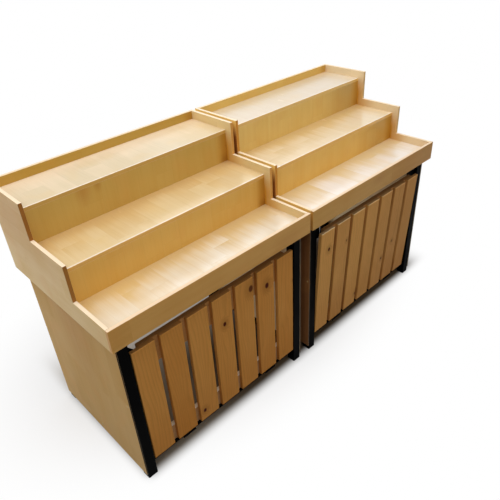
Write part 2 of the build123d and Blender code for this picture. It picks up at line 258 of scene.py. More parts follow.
# Knots in the slats: x from the bay's middle, height on the closed flap and radius in metres, and strength
KNOTS = {
    "bay1": [(0.004, 0.533, 0.0100, 1.0), (-0.151, 0.141, 0.0095, 1.0), (0.160, 0.626, 0.015, 0.9),
             (0.255, 0.588, 0.013, 1.0), (0.424, 0.524, 0.006, 0.7)],
    "bay2": [(-0.348, 0.584, 0.009, 1.0), (-0.209, 0.567, 0.006, 0.6), (0.240, 0.344, 0.008, 0.6),
             (0.150, 0.269, 0.007, 0.9), (-0.074, 0.151, 0.009, 0.9)],
}
KNOT_DRAWN = 0.72
KNOT_FADE, HALO_FADE = (1.05, 0.55), (3.6, 0.9)
HALO_STRENGTH, HALO_TONE = 0.30, rgb(128, 72, 26)
KNOT_TONE = rgb(72, 22, 5)

# Growth rings: how many a metre, how far they wander and bend by a knot, and where late wood sets in
RINGS, RING_WANDER, RING_BEND = 70.0, 9.0, 2.2
LATE_FADE, LATE_STRENGTH, LATE_TONE = (0.35, 0.97), 0.12, rgb(120, 66, 22)

# The slats' tone: shares of the slat and of clouds, and where the dark sets in
SLAT_SHARE, SLAT_CLOUD_SHARE = 0.45, 0.55
DARK_FADE = (0.2, 0.85)

# Tints over the slats: between which values each sets in, its strength and its tone
SLAT_FOOT = (0.32, 0.02, 0.22, rgb(190, 110, 34))
PINE_FIBRES = (0.45, 0.8, 0.14, rgb(104, 58, 22))
# Painted shade on the slats' sides, which look into the gaps
SLAT_SIDE_SHADE = (*SQUARE_FADE, 0.25, rgb(70, 36, 14))
# Where the given tone of the tops sets in, and its strength; it paints shade on the slats and a highlight on
# the bottom batten
PAINTED_TOP_FADE = (0.8, 0.95, 0.85)
# A painted highlight along the slats' edges
SLAT_HIGHLIGHT_STRENGTH, SLAT_HIGHLIGHT_TONE = 0.22, rgb(214, 160, 98)

# The painted highlight on the edge below a slat's top: where it sets in, its strength on the left and its
# loss to the right
ARRIS_HIGHLIGHT_FADE, ARRIS_HIGHLIGHT_LEFT, ARRIS_HIGHLIGHT_LOSS = (0.25, 0.45), 0.9, -0.8
ARRIS_HIGHLIGHT_TONE = rgb(240, 214, 166)

# The slats' varnish: shares of fibres and clouds in its roughness, and the relief of late wood and fibres
PINE_ROUGH_SHARES, PINE_ROUGH = (0.5, 0.5), (0.3, 0.7, 0.46, 0.60)
PINE_RELIEF, PINE_BUMP, PINE_SHINE = (0.5, 0.3), (0.15, 0.0004), 0.04

# Black paint: spots a metre and detail of its skin and clouds, tones, roughness, and wear on its edges
PAINT_SKIN, PAINT_CLOUD = (900.0, 2.0), (11.0, 3.0)
PAINT_FADE, PAINT_DEEP = (0.35, 0.7), rgb(4, 4, 4)
PAINT_EDGE, WEAR_FADE = 0.0016, (0.5, 0.75)
WEAR_STRENGTH, WEAR_TONE = 0.35, rgb(70, 66, 60)
PAINT_SHINE, PAINT_BUMP = 0.01, (0.12, 0.0002)
FRAME_PAINT, HINGE_PAINT = (rgb(2, 2, 2), (0.42, 0.58)), (rgb(12, 12, 12), (0.3, 0.45))
SPOT_FADE = (0.3, 0.7)

# Zinc plate and moulded plastic: spots a metre and detail, two tones, and roughness
ZINC_CLOUD, ZINC_ROUGH = (420.0, 3.0), (0.28, 0.48)
ZINC_TONES = (rgb(172, 146, 98), rgb(206, 182, 134))
FOOT_SKIN, FOOT_ROUGH = (1400.0, 2.0), (0.55, 0.75)
FOOT_TONES = (rgb(10, 10, 10), rgb(24, 23, 22))
FOOT_SHINE, FOOT_BUMP = 0.25, (0.2, 0.0002)

# Steel sections, in metres: the wall, and the radii of the corners outside and inside
LEG_WALL, LEG_ROLL = 0.002, (0.004, 0.002)
RAIL_WALL, RAIL_ROLL = 0.0015, (0.003, 0.0015)
ANGLE_WALL, ANGLE_ROLL = 0.003, (0.001, 0.003)
ROLL_STEPS = 4
QUARTER = [math.pi / 2 * step / ROLL_STEPS for step in range(ROLL_STEPS + 1)]
HOLE_RADIUS = 0.0021
FLAT = 0.999

# Feet, in metres: the flange's height, the plug's play in the tube and the eased lower edge
FOOT_FLANGE = 0.005
FOOT_PLAY = 0.0002
FOOT_EASE = 0.0015

# Welds where rails meet legs, in metres: the bead, its ripples and tapered ends, and a filled groove's dish
WELD_SIZE = 0.002
WELD_RIPPLE = 0.003
WELD_WAVE = 0.12
WELD_TAPER, WELD_END = 0.003, 0.3
WELD_DISH = 0.0004
WELD_STATIONS = 5
WELD_SHARP = math.radians(50.0)

# Screws: the head's height in metres, and its rings as shares of radius and height from the seat up
HEAD_HEIGHT = 0.0025
HEAD_RINGS = ((1.0, 0.0), (1.0, 0.35), (0.94, 0.68), (0.80, 0.90), (0.64, 1.0))
POINT_LENGTH = 2.0
SCREW_SPIN = 2.4
SCREW_SHARP = math.radians(35.0)
CIRCLE_STEPS = 24

# The cross recess: its arms as shares of the head's radius, its depth in metres, and its floor's share
RECESS_ARM = 0.52
RECESS_HALF_WIDTH = 0.15
RECESS_DEPTH = 0.0016
RECESS_TAPER = 0.6

# How near points are that count as one or as level, in metres
SAME_POINT = 1e-6
SAME_LEVEL = 0.001


class Nodes:
    """A node tree under construction, with a short call for each kind of node."""

    def __init__(self, tree):
        self.tree = tree
        self.tree.nodes.clear()

    def node(self, kind, inputs=None, **settings):
        node = self.tree.nodes.new("ShaderNode" + kind)
        for key, value in settings.items():
            setattr(node, key, value)
        for key, value in (inputs or {}).items():
            if isinstance(value, bpy.types.NodeSocket):
                self.tree.links.new(value, node.inputs[key])
            else:
                node.inputs[key].default_value = value
        return node

    def place(self):
        return self.node("TexCoord").outputs["Object"]

    def facing(self):
        """Which way the surface looks on the object, along x, y and z."""
        return self.split(self.node("TexCoord").outputs["Normal"])

    def math(self, operation, *values):
        return self.node("Math", dict(enumerate(values)), operation=operation).outputs[0]

    def minus(self, first, second):
        return self.math("SUBTRACT", first, second)

    def times(self, first, second):
        return self.math("MULTIPLY", first, second)

    def weigh(self, *shares):
        """The sum of some values, each times its share."""
        total = 0.0
        for value, share in shares:
            total = self.math("MULTIPLY_ADD", value, share, total)
        return total

    def most(self, first, *others):
        """The largest of some values."""
        for other in others:
            first = self.math("MAXIMUM", first, other)
        return first

    def vector(self, operation, *values):
        node = self.node("VectorMath", dict(enumerate(values)), operation=operation)
        return node.outputs["Value" if operation in ("DOT_PRODUCT", "LENGTH") else "Vector"]

    def split(self, vector):
        return self.node("SeparateXYZ", {0: vector}).outputs

    def join(self, *values):
        return self.node("CombineXYZ", dict(enumerate(values))).outputs[0]

    def noise(self, vector, detail):
        inputs = {"Vector": vector, "Scale": 1.0, "Detail": detail, "Roughness": NOISE_ROUGHNESS}
        return self.node("TexNoise", inputs).outputs["Fac"]

    def spots(self, scale, detail):
        """Even noise, with so many spots a metre."""
        inputs = {"Vector": self.place(), "Scale": scale, "Detail": detail}
        return self.node("TexNoise", inputs).outputs["Fac"]

    def white(self, *values):
        return self.node("TexWhiteNoise", {"Vector": self.join(*values)}).outputs["Value"]

    def ramp(self, value, low, high, to_low=0.0, to_high=1.0, kind="LINEAR"):
        inputs = {"Value": value, "From Min": low, "From Max": high, "To Min": to_low, "To Max": to_high}
        return self.node("MapRange", inputs, interpolation_type=kind).outputs[0]

    def ease(self, *values):
        """A ramp with soft ends."""
        return self.ramp(*values, kind="SMOOTHSTEP")

    def mix(self, factor, first, second, blend="MIX"):
        inputs = {0: factor, 6: first, 7: second}
        return self.node("Mix", inputs, data_type="RGBA", blend_type=blend).outputs[2]

    def seen(self):
        """1 where the camera looks, straight, in gloss or through glass, and 0 for light that bounces."""
        rays = self.node("LightPath").outputs
        return self.most(rays["Is Camera Ray"], rays["Is Glossy Ray"], rays["Is Transmission Ray"])


class Surface(Nodes):
    """A material under construction, whose base colour grows tint by tint."""

    def __init__(self, name):
        self.material = bpy.data.materials.new(name)
        self.material.use_nodes = True
        super().__init__(self.material.node_tree)
        self.base = None

    def cover(self, strength, tone):
        """Lays a tone over the colour so far."""
        self.base = self.mix(strength, self.base, tone)

    def tint(self, value, low, high, strength, tone):
        """Lays a tone over the colour so far, as a value goes from low to high."""
        self.cover(self.ease(value, low, high, 0.0, strength), tone)

    def edge(self, radius):
        """How much a point lies on a rounded or sharp edge, 0 to 1."""
        soft = self.node("Bevel", {"Radius": radius}, samples=EDGE_SAMPLES).outputs["Normal"]
        plain = self.node("NewGeometry").outputs["Normal"]
        return self.ease(self.vector("DOT_PRODUCT", soft, plain), *EDGE_FADE)

    def finish(self, inputs):
        shader = self.node("BsdfPrincipled", {"Base Color": self.base, **inputs})
        self.node("OutputMaterial", {"Surface": shader.outputs[0]})
        return self.material

    def coat(self, rough, shine, height, strength, distance):
        """Finishes a varnished, painted or moulded surface, with a fine relief."""
        relief = self.node("Bump", {"Height": height, "Strength": strength, "Distance": distance})
        return self.finish({"Roughness": rough, "Specular IOR Level": shine, "Normal": relief.outputs[0]})


class Wood(Surface):
    """A wooden surface: where each point lies on the stand, and which way it looks."""

    def __init__(self, name):
        super().__init__(name)
        self.spot = self.place()
        self.axes = self.split(self.spot)
        self.looks = self.facing()

    def grain(self, place, along, fineness, jump=(0.0, 0.0, 0.0)):
        """Noise that is drawn out along the fibres."""
        across, drawn, detail = fineness
        scale = [across] * 3
        scale[along] = drawn
        return self.noise(self.vector("MULTIPLY_ADD", place, tuple(scale), jump), detail)

    def towards(self, axis, sign, strength=1.0):
        """How squarely a point looks along an axis, from 0 to a strength."""
        return self.ease(self.times(self.looks[axis], sign), *SQUARE_FADE, 0.0, strength)


class Board(Wood):
    """A varnished board of glued staves, each with its own tone and grain, between fine glue lines."""

    def __init__(self, name, along, across, seed):
        super().__init__(name)
        self.along = along
        self.seed = seed
        rows = self.math("DIVIDE", self.axes[across], STAVE_WIDTH)
        row = self.math("FLOOR", rows)
        cells = self.math("DIVIDE", self.axes[along], STAVE_LENGTH)
        cells = self.math("ADD", cells, self.white(row, seed, STAVE_SEED))
        self.tone = self.white(row, self.math("FLOOR", cells), seed)
        gap = self.math("MINIMUM", self.joint(rows, STAVE_WIDTH), self.joint(cells, STAVE_LENGTH))
        self.seam = self.ease(gap, 0.0, SEAM_WIDTH, 1.0, 0.0)
        jump = self.join(self.times(self.tone, STAVE_JUMP), 0.0, 0.0)
        self.streak = self.grain(self.spot, along, BOARD_STREAK, jump)
        self.figure = self.grain(self.spot, along, BOARD_FIGURE, jump)
        self.cloud = self.noise(self.vector("MULTIPLY", self.spot, BOARD_CLOUD), SOFT_DETAIL)

    def joint(self, ratio, size):
        """The distance to the nearest joint between staves."""
        middle = self.math("ABSOLUTE", self.minus(self.math("FRACT", ratio), 0.5))
        return self.times(self.minus(0.5, middle), size)

    def ripen(self, pale, golden, patchwork, worn):
        """The wood's own tones. On a shelf, a painted shade of gold grows towards the riser behind,
        and a painted sheen makes it paler towards its front and palest on its front edge.
        """
        depth = self.weigh((self.tone, patchwork), (self.figure, FIGURE_SHARE), (self.cloud, CLOUD_SHARE))
        # Painted shade of gold towards the riser behind, and a painted sheen towards the front
        if worn:
            inward = self.math("POWER", self.ramp(self.axes[Y], *worn), PAINTED_SHADE_POWER)
            depth = self.math("MULTIPLY_ADD", inward, PAINTED_SHADE_GOLD, self.minus(depth, PAINTED_SHEEN_PALE))
        self.ripe = self.ease(depth, *GOLD_FADE)
        self.base = self.mix(self.ripe, pale, golden)
        # A painted sheen along the front edge
        if worn:
            self.tint(self.minus(self.axes[Y], worn[0]), *PAINTED_SHEEN_RIM)

    def tint_side(self, axis, sign, tone):
        """Gives the sides that look one way a tone of their own."""
        dimmed = self.math("MULTIPLY_ADD", self.ripe, SIDE_DIM, SIDE_LIGHT)
        self.cover(self.towards(axis, sign, SIDE_STRENGTH), self.mix(1.0, tone, dimmed, "MULTIPLY"))

    def warm(self, tone):
        """Warmer clouds."""
        place = self.vector("MULTIPLY_ADD", self.spot, WARM_CLOUD, (self.seed, *WARM_SEEDS))
        self.tint(self.noise(place, WARM_DETAIL), *WARM_FADE, tone)

    def stain(self, centre, radius, strength, tone):
        """A stain that is drawn out along the fibres."""
        scale = [1 / radius] * 3
        scale[self.along] = STAIN_DRAWN / radius
        offset = self.vector("MULTIPLY", self.vector("SUBTRACT", self.spot, centre), tuple(scale))
        self.tint(self.vector("LENGTH", offset), STAIN_REACH, 0.0, strength, tone)

    def shade_corner(self, depth, foot, top):
        """Painted shade on the side that looks left, in the corner in front of a riser that meets it."""
        ahead = self.minus(depth, self.axes[Y])
        near = self.math("ADD", self.ease(ahead, *CORNER_WIDE), self.ease(ahead, *CORNER_CLOSE))
        near = self.times(near, self.math("GREATER_THAN", ahead, 0.0))
        full = CORNER_FULL * top + (1.0 - CORNER_FULL) * foot
        near = self.times(near, self.ease(self.axes[Z], top, full))
        self.cover(self.times(near, self.towards(X, -1.0)), CORNER_SHADE_TONE)

    def shade_right_end(self, end, foot, shade, amber, deep):
        """Painted shade towards the right end of the front, by the corner with the end board: a wide shade,
        amber and a deep tone, stronger at the foot.
        """
        frontal = self.towards(Y, -1.0)
        across = self.axes[X]
        wide = self.ease(across, end - SHADE_REACH, end - DEEP_REACH, 0.0, shade)
        near = self.ease(across, end - AMBER_REACH, end, 0.0, amber)
        last = self.ease(across, end - DEEP_REACH, end - DEEP_FULL * DEEP_REACH, 0.0, deep)
        last = self.times(last, self.ease(self.axes[Z], foot + DEEP_REACH, foot, 1.0, DEEP_AT_FOOT))
        for reach, tone in ((wide, DEEP_TONE), (near, CORNER_SHADE_TONE), (last, DEEP_TONE)):
            self.cover(self.times(reach, frontal), tone)

    def stand_close(self, sign):
        """A side that stands close to the other bay: bright by its stepped top and in painted shade below.
        """
        top = LIP_TOPS[0]
        for front, low, high in zip(STEP_FRONTS, LIP_TOPS, LIP_TOPS[1:]):
            behind = self.math("GREATER_THAN", self.axes[Y], front)
            top = self.math("MULTIPLY_ADD", behind, high - low, top)
        deep = self.ease(self.minus(top, self.axes[Z]), *CLOSE_FADE)
        self.cover(self.towards(X, sign), self.mix(deep, CLOSE_TOP, CLOSE_SHADE_TONE))

    def varnish(self, gloss, shine):
        """Edges with a painted highlight, and a gloss that is uneven over clouds, fibres and staves."""
        # A painted highlight along the edges
        self.cover(self.times(self.edge(BOARD_EDGE), EDGE_HIGHLIGHT_STRENGTH), EDGE_HIGHLIGHT_TONE)
        patchy = self.weigh(*zip((self.cloud, self.streak, self.tone), ROUGH_SHARES))
        rough = self.ease(patchy, *ROUGH_FADE, *(gloss + spread for spread in GLOSS_SPREAD))
        height = self.minus(self.times(self.streak, BOARD_RELIEF), self.seam)
        return self.coat(rough, shine, height, *BOARD_BUMP)


# Materials
def jointed_board(name, along, across, tones, seed, patchwork=0.25, gloss=0.40, shine=0.2, crest=0.75,
                  warm=WARM_TONE, stain=STAIN_TONE, stains=(), sides=(), corners=(), amber_end=None,
                  close_side=0.0, worn=None):
    """A varnished board, with its fibres along one axis and its staves side by side across another.

    The painted top is how pale its upward faces are painted, a painted sheen. A side is an axis, a sign and
    the tone of what looks that way. A corner is the depth, foot and top of a riser that meets the left side,
    where painted shade darkens the corner. A shaded right end is its x, its foot and the strengths of three
    tones of painted shade. A close side is the sign along x of the side by the other bay, which gets painted
    shade below its top. A board with painted light has the depths of its front and of the board behind it,
    between which a painted shade grows to the rear and a painted sheen to the front.
    """
    board = Board(name, along, across, seed)
    board.ripen(*tones, patchwork, worn)
    for side in sides:
        board.tint_side(*side)
    board.warm(warm)
    board.tint(board.streak, *BOARD_FIBRES)
    board.cover(board.times(board.seam, SEAM_STRENGTH), SEAM_TONE)
    for mark in stains:
        board.stain(*mark, stain)
    # A painted sheen on the faces that look up
    board.tint(board.looks[Z], *TOP_SHEEN_FADE, crest, TOP_SHEEN_TONE)
    # Painted shade in the corners where the risers meet this board
    for corner in corners:
        board.shade_corner(*corner)
    # Painted shade towards the right end of the front
    if amber_end:
        board.shade_right_end(*amber_end)
    # Painted shade on a side in the narrow gap between the bays
    if close_side:
        board.stand_close(close_side)
    return board.varnish(gloss, shine)


def knots(s, bay, middle):
    """How much a point lies in one of a bay's knots, and in the bent grain round one."""
    spots, halos = [], []
    for x, z, radius, strength in KNOTS[bay]:
        offset = s.vector("SUBTRACT", s.spot, (middle + x, 0.0, z))
        offset = s.vector("MULTIPLY", offset, (1 / radius, 0.0, KNOT_DRAWN / radius))
        reach = s.vector("LENGTH", offset)
        spots.append(s.ease(reach, *KNOT_FADE, 0.0, strength))
        halos.append(s.ease(reach, *HALO_FADE, 0.0, strength))
    return s.most(*spots), s.most(*halos)


def pine(name, bay, along, across, pale, dark, crest, light_falloff=0.0):
    """Varnished pine: growth rings drawn out along the grain, tone by slat, and sawn tops in a given tone:
    painted shade on the slats and the top batten, a painted highlight on the bottom batten.

    Upright slats have knots and darker feet. With a light falloff, painted shade darkens the wood to the
    right, and a painted highlight lies on the edge below its top, strongest on the left.
    """
    s = Wood(name)
    upright = along == Z
    low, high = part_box(bay + "_flap_slats")
    pitch = (high.x - low.x + SLAT_GAP) / SLAT_COUNT
    index = s.math("FLOOR", s.math("DIVIDE", s.minus(s.axes[across], low.x), pitch))
    tone = s.white(index, *SLAT_SEEDS)
    moved = s.vector("ADD", s.spot, s.join(*(s.times(tone, jump) for jump in SLAT_JUMPS)))
    drift = s.grain(moved, along, PINE_DRIFT)
    streak = s.grain(moved, along, PINE_STREAK)
    cloud = s.noise(s.vector("MULTIPLY", moved, PINE_CLOUD), SOFT_DETAIL)
    rings = s.weigh((s.split(moved)[across], RINGS), (drift, RING_WANDER))
    if upright:
        knot, halo = knots(s, bay, (low.x + high.x) / 2)
        rings = s.math("MULTIPLY_ADD", halo, RING_BEND, rings)
    late = s.ease(s.math("FRACT", rings), *LATE_FADE)
    rightward = s.ease(s.axes[X], low.x, high.x)
    # With a light falloff, painted shade darkens the wood to the right
    depth = s.weigh((tone, SLAT_SHARE), (cloud, SLAT_CLOUD_SHARE), (s.minus(rightward, 0.5), light_falloff))
    s.base = s.mix(s.ease(depth, *DARK_FADE), pale, dark)
    if upright:
        s.tint(s.minus(s.axes[Z], low.z), *SLAT_FOOT)
    s.cover(s.times(late, LATE_STRENGTH), LATE_TONE)
    s.tint(streak, *PINE_FIBRES)
    if upright:
        s.cover(s.times(halo, HALO_STRENGTH), HALO_TONE)
        s.cover(knot, KNOT_TONE)
    # A painted highlight along the edges
    s.cover(s.times(s.edge(SLAT_EDGE), SLAT_HIGHLIGHT_STRENGTH), SLAT_HIGHLIGHT_TONE)
    # Painted shade on the sides that look into the gaps
    s.tint(s.math("ABSOLUTE", s.looks[X]), *SLAT_SIDE_SHADE)
    # A painted highlight on the edge below the top, fading to the right
    if light_falloff:
        leftward = s.math("MULTIPLY_ADD", rightward, ARRIS_HIGHLIGHT_LOSS, ARRIS_HIGHLIGHT_LEFT)
        s.cover(s.times(s.ease(s.looks[Z], *ARRIS_HIGHLIGHT_FADE), leftward), ARRIS_HIGHLIGHT_TONE)
    # The tops' given tone: painted shade on the slats and top batten, a painted highlight on the bottom
    # batten
    s.tint(s.looks[Z], *PAINTED_TOP_FADE, crest)
    rough = s.ease(s.weigh(*zip((streak, cloud), PINE_ROUGH_SHARES)), *PINE_ROUGH)
    height = s.weigh(*zip((late, streak), PINE_RELIEF))
    return s.coat(rough, PINE_SHINE, height, *PINE_BUMP)


def painted_steel(name, tone, roughness):
    """Black powder-coated steel with a fine orange-peel skin, with a little wear at its edges."""
    s = Surface(name)
    cloud = s.spots(*PAINT_CLOUD)
    s.base = s.mix(s.ease(cloud, *PAINT_FADE), tone, PAINT_DEEP)
    # Wear on the paint's edges
    worn = s.times(s.edge(PAINT_EDGE), s.ease(cloud, *WEAR_FADE))
    s.cover(s.times(worn, WEAR_STRENGTH), WEAR_TONE)
    rough = s.ease(cloud, *SPOT_FADE, *roughness)
    return s.coat(rough, PAINT_SHINE, s.spots(*PAINT_SKIN), *PAINT_BUMP)


def bright_steel(name):
    """Yellow zinc-plated steel, a little cloudy."""
    s = Surface(name)
    cloud = s.spots(*ZINC_CLOUD)
    s.base = s.mix(cloud, *ZINC_TONES)
    return s.finish({"Metallic": 1.0, "Roughness": s.ease(cloud, *SPOT_FADE, *ZINC_ROUGH)})


def foot_plastic(name):
    """Black moulded plastic with a matte grain."""
    s = Surface(name)
    grain = s.spots(*FOOT_SKIN)
    s.base = s.mix(grain, *FOOT_TONES)
    return s.coat(s.ease(grain, *SPOT_FADE, *FOOT_ROUGH), FOOT_SHINE, grain, *FOOT_BUMP)


# The finish of the CAD nodes that show
def dress(nodes, material):
    """Gives CAD nodes their material."""
    for node in nodes:
        data = frame["nodes"][node].data
        data.materials.clear()
        data.materials.append(material)


def dress_board(node, *settings, **looks):
    """Gives a CAD board a material of its own."""
    dress([node], jointed_board(node + "_wood", *settings, **looks))


def both(*names):
    """The nodes of those names in both bays."""
    return [f"{bay}_{name}" for bay in BAYS for name in names]


def inward_sign(node):
    """The sign along x of the way that a left or right board looks into its bay."""
    return 1.0 if "left" in node else -1.0


def dress_shelves():
    """Shelves: glossy, paler towards their fronts with a painted sheen and golden towards the riser behind
    with painted shade, with front edges in a riser's tone.
    """
    for index, (shelf, tones) in enumerate(SHELF_TONES.items()):
        bay, name = shelf.split("_", 1)
        # The span over which the painted shade and the painted sheen are laid
        worn = (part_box(shelf)[0].y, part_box(f"{bay}_{BEHIND_SHELF[name]}")[0].y)
        _, edge = RISER_TONES[f"{bay}_{EDGE_LIKE[name]}"]
        dress_board(shelf, Y, X, tones, seed=7.0 + index, patchwork=0.24, gloss=0.22, crest=0.0,
                    shine=SHELF_SHINE[shelf], warm=SHELF_WARM, stain=SHELF_WARM, stains=SHELF_STAINS,
                    sides=[(Y, -1.0, edge)], worn=worn)


def dress_uprights():
    """Risers, back boards and aprons: the boards that look to the front."""
    for riser, tones in RISER_TONES.items():
        bay, _ = riser.split("_", 1)
        low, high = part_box(riser)
        dress_board(riser, Z, X, tones, seed=2.0, patchwork=0.15, stains=RISER_STAINS,
                    amber_end=(high.x, low.z, *RISER_ENDS[bay]))
    for bay in BAYS:
        low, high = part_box(bay + "_back_board")
        dress_board(bay + "_back_board", X, Z, BACK_TONES[bay], seed=8.0, sides=[(Y, 1.0, END_TONES[0])],
                    amber_end=(high.x, low.z, *BACK_END))
        dress_board(bay + "_front_apron", X, Z, APRON_TONES[bay], seed=4.0, shine=0.12, stains=APRON_STAINS)


def dress_ends():
    """Stepped end boards, with pale sides towards their bay and sawn front edges."""
    for panel, edge in END_EDGES.items():
        bay, _ = panel.split("_", 1)
        inward = inward_sign(panel)
        # Sawn front edges in a tone that is partly end grain and partly painted shade
        dress_board(panel, Y, Z, END_TONES, seed=3.0, shine=0.12, crest=0.95, stains=END_STAINS,
                    sides=[(Y, -1.0, edge), (X, inward, INNER_FACES[bay])],
                    corners=RISER_CORNERS if inward < 0 else (),
                    close_side=-inward if panel in CLOSE_ENDS else 0.0)


def dress_sheets():
    """Thin side sheets with dark edges, and the hidden cleats."""
    for sheet in both("left_side_panel", "right_side_panel"):
        # Sheets close to the other bay get tones darkened with painted shade
        tones = CLOSE_SHEET_SHADE if sheet in CLOSE_SHEETS else OPEN_SHEET
        dress_board(sheet, Z, Y, tones, seed=5.0, gloss=0.5, shine=0.08, stains=SHEET_STAINS,
                    sides=[(Y, -1.0, SHEET_EDGE), (X, inward_sign(sheet), SHEET_INSIDE)])
    dress(both("shelf_cleats"), jointed_board("cleat_wood", Y, X, CLEAT_TONES, seed=6.0, gloss=0.5))


def dress_flaps():
    """Pine slats and the battens behind them."""
    for bay in BAYS:
        pale, dark, crest, light_falloff = SLAT_TONES[bay]
        dress([bay + "_flap_slats"], pine(bay + "_slat_pine", bay, Z, X, pale, dark, crest, light_falloff))
        dress([bay + "_flap_top_batten"], pine(bay + "_top_batten_pine", bay, X, Z, *TOP_BATTEN, crest))
        dress([bay + "_flap_bottom_batten"], pine(bay + "_bottom_batten_pine", bay, X, Z, *BOTTOM_BATTEN))


# Pieces in the places of CAD solids
def solids(node):
    """The separate solids of a CAD node, each as a list of its corners."""
    work = bmesh.new()
    work.from_mesh(frame["nodes"][node].data)
    bmesh.ops.remove_doubles(work, verts=work.verts, dist=SAME_POINT)
    seen, groups = set(), []
    for start in work.verts:
        if start in seen:
            continue
        seen.add(start)
        group = [start]
        for vert in group:
            fresh = [edge.other_vert(vert) for edge in vert.link_edges if edge.other_vert(vert) not in seen]
            seen.update(fresh)
            group += fresh
        groups.append([vert.co.copy() for vert in group])
    work.free()
    return groups


def span(corners):
    """The lowest and highest corners of the box round some points."""
    return [Vector([pick(corner[i] for corner in corners) for i in range(3)]) for pick in (min, max)]


def unit(axis, length=1.0):
    """A step along an axis."""
    return Vector([length if i == axis else 0.0 for i in range(3)])


def beside(axis):
    """The two other axes."""
    return [i for i in range(3) if i != axis]


def longest(low, high):
    """The axis along which a box is longest."""
    return max(range(3), key=lambda i: high[i] - low[i])


def skin(work, rings, looped=False):
    """Adds the faces between rings of points, and closes the ends or joins them up."""
    rings = [[work.verts.new(point) for point in ring] for ring in rings]
    nexts = rings[1:] + rings[:1] if looped else rings[1:]
    for first, second in zip(rings, nexts):
        for step in range(len(first)):
            after = (step + 1) % len(first)
            work.faces.new((first[step], first[after], second[after], second[step]))
    if not looped:
        work.faces.new(rings[0][::-1])
        work.faces.new(rings[-1])


def add_object(name, data):
    """A new object in the scene."""
    made = bpy.data.objects.new(name, data)
    bpy.context.scene.collection.objects.link(made)
    return made


def mesh_object(name, work):
    """Makes a finished mesh into an object, with its faces turned outwards."""
    bmesh.ops.recalc_face_normals(work, faces=work.faces)
    mesh = bpy.data.meshes.new(name)
    work.to_mesh(mesh)
    work.free()
    return add_object(name, mesh)


def add_piece(name, work, material, body, replaced=None):
    """Makes a finished mesh into a piece of the stand."""
    piece = mesh_object(name, work)
    piece.data.materials.append(material)
    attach(piece, body)
    if replaced:
        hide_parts(replaced)
    return piece


def smooth(piece, sharp):
    """Shades a piece smooth, up to a sharp angle."""
    piece.data.shade_smooth()
    piece.data.set_sharp_from_angle(angle=sharp)


# Steel with rolled corners, and moulded feet
def rounded(corners, radii):
    """A right-angled outline with its corners rounded off, as points round it."""
    ring = []
    for index, (corner, radius) in enumerate(zip(corners, radii)):
        back = (corners[index - 1] - corner).normalized()
        ahead = (corners[(index + 1) % len(corners)] - corner).normalized()
        centre = corner + radius * (back + ahead)
        ring += [centre - radius * (math.cos(turn) * ahead + math.sin(turn) * back) for turn in QUARTER]
    return ring


def outline(low, high, along, inset, radius):
    """A box's lower end across an axis, drawn in by an inset, with its corners rounded off."""
    u, v = beside(along)
    corners = []
    for right, top in ((0, 0), (1, 0), (1, 1), (0, 1)):
        corner = low.copy()
        corner[u] = high[u] - inset if right else low[u] + inset
        corner[v] = high[v] - inset if top else low[v] + inset
        corners.append(corner)
    return rounded(corners, [radius] * len(corners))


def moved(ring, step):
    """A ring of points, a step further."""
    return [point + step for point in ring]


def add_tube(work, low, high, wall, radii):
    """Adds an open tube in a box's place, its corners rounded outside and inside."""
    along = longest(low, high)
    reach = unit(along, high[along] - low[along])
    outer, inner = (outline(low, high, along, inset, radius) for inset, radius in zip((0.0, wall), radii))
    skin(work, [outer, moved(outer, reach), moved(inner, reach), inner], looped=True)


def add_angle(work, low, high):
    """Adds the angle under a flap: its flat lies on top, and its other leg hangs at the back."""
    under, inside = high.z - ANGLE_WALL, high.y - ANGLE_WALL
    edge, root = ANGLE_ROLL
    profile = ((low.y, under), (inside, under), (inside, low.z),
               (high.y, low.z), (high.y, high.z), (low.y, high.z))
    ring = rounded([Vector((low.x, y, z)) for y, z in profile], (edge, root, edge, edge, edge, edge))
    skin(work, [ring, moved(ring, unit(X, high.x - low.x))])


def add_foot(work, low, high):
    """Adds one foot: a flange under the leg, its lower edge eased, and a plug inside the tube."""
    plug = LEG_WALL + FOOT_PLAY
    levels = [(FOOT_EASE * (1.0 - math.cos(turn)), FOOT_EASE * (1.0 - math.sin(turn))) for turn in QUARTER]
    levels += [(FOOT_FLANGE, 0.0), (FOOT_FLANGE, plug), (high.z - low.z, plug)]
    rings = []
    for height, inset in levels:
        rings.append(moved(outline(low, high, Z, inset, LEG_ROLL[0] - inset), unit(Z, height)))
    skin(work, rings)


def section_piece(node, ending, add_solid, material, slot, *sizes):
    """One piece in the place of a node, with a finished section for each of its solids."""
    work = bmesh.new()
    for corners in solids(node):
        add_solid(work, *span(corners), *sizes)
    piece = add_piece(node + ending, work, material, "stand", node)
    for face in piece.data.polygons:
        face.use_smooth = max(abs(part) for part in face.normal) < FLAT
    return piece


def screw_holes(bay):
    """The clear holes of a bay's panel screws, as a shape to cut with."""
    work = bmesh.new()
    for corners in solids(bay + "_panel_screws"):
        low, high = span(corners)
        start = (low + high) / 2
        start.x = low.x
        ring = [start + Vector((0.0, point.x, point.y)) for point in circle(HOLE_RADIUS, 0.0)]
        skin(work, [ring, moved(ring, unit(X, high.x - low.x))])
    return mesh_object("holes", work)


def drill(piece, holes):
    """Cuts the holes out of a piece."""
    cut = piece.modifiers.new("holes", "BOOLEAN")
    cut.operation = "DIFFERENCE"
    cut.solver = "EXACT"
    cut.object = holes
    whole = piece.data
    drilled = piece.evaluated_get(bpy.context.evaluated_depsgraph_get())
    piece.data = bpy.data.meshes.new_from_object(drilled)
    piece.modifiers.clear()
    bpy.data.meshes.remove(whole)


